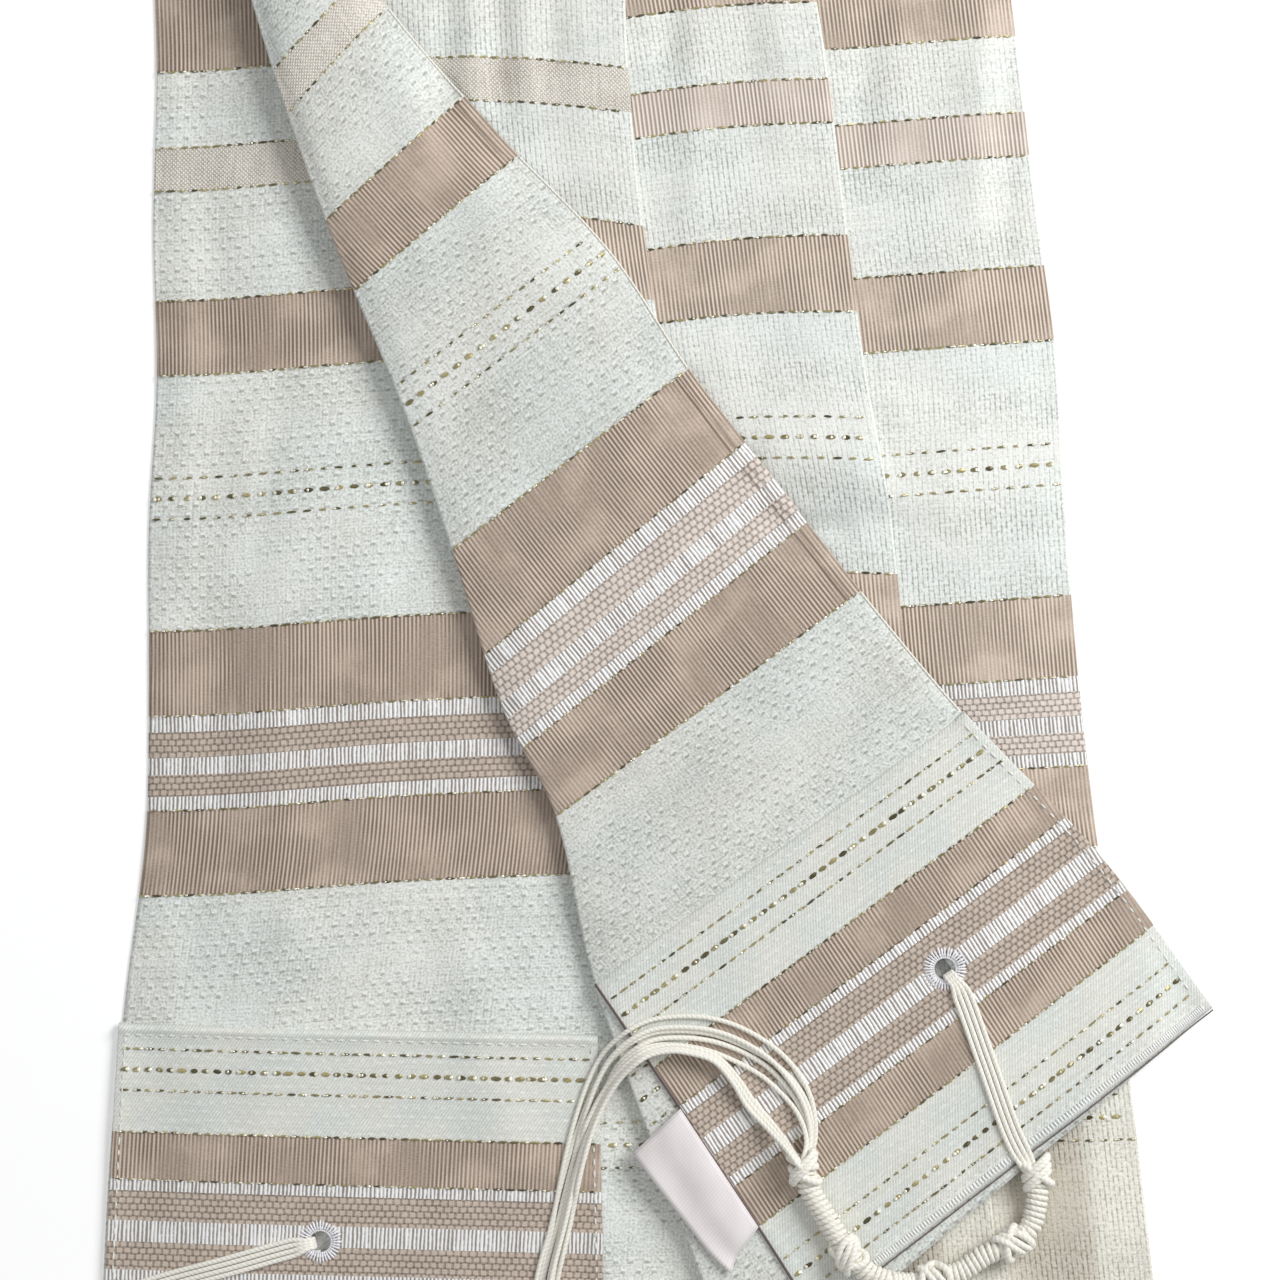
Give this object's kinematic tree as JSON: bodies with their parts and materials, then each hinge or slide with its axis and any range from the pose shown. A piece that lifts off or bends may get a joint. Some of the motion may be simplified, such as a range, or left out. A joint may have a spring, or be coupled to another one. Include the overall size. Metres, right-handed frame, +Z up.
{
  "type": "tallit prayer shawl",
  "caption": "Folded prayer shawl of striped woven cloth laid flat, with sewn corner patches, eyelets and knotted corner tassels.",
  "frame": {"origin": "on the surface it lies on, midway between the hem line and the neck fold of the back half", "axes": "+Y along the shawl towards the neck fold, +X across it towards the pleats, +Z up from the surface"},
  "size_m": [0.3044, 1.1665, 0.0208],
  "materials": {
    "white_cloth": "matte woven cloth with raised dots, tan ribbed stripes and metallic gold dashes",
    "patch_cloth": "woven cloth with tan ribbed bands, glossy white bands and metallic gold dashes",
    "satin": "satin ribbon, bare",
    "cord": "matte plied wool cord"
  },
  "bodies": {
    "root": {"hidden_layers": "white_cloth", "under_layer_right": "white_cloth", "back_left_panel": "white_cloth", "back_pleat_first": "white_cloth", "back_pleat_second": "white_cloth", "back_pleat_third": "white_cloth", "front_end": "white_cloth", "front_hidden_layers": "white_cloth", "corner_patch_back": "patch_cloth", "corner_patch_front": "patch_cloth", "label": "satin", "tassel_front_corner": "cord", "tassel_back_corner": "cord", "tassel_back_turned_corner": "cord", "tassel_front_turned_corner": "cord"}
  },
  "joints": []
}
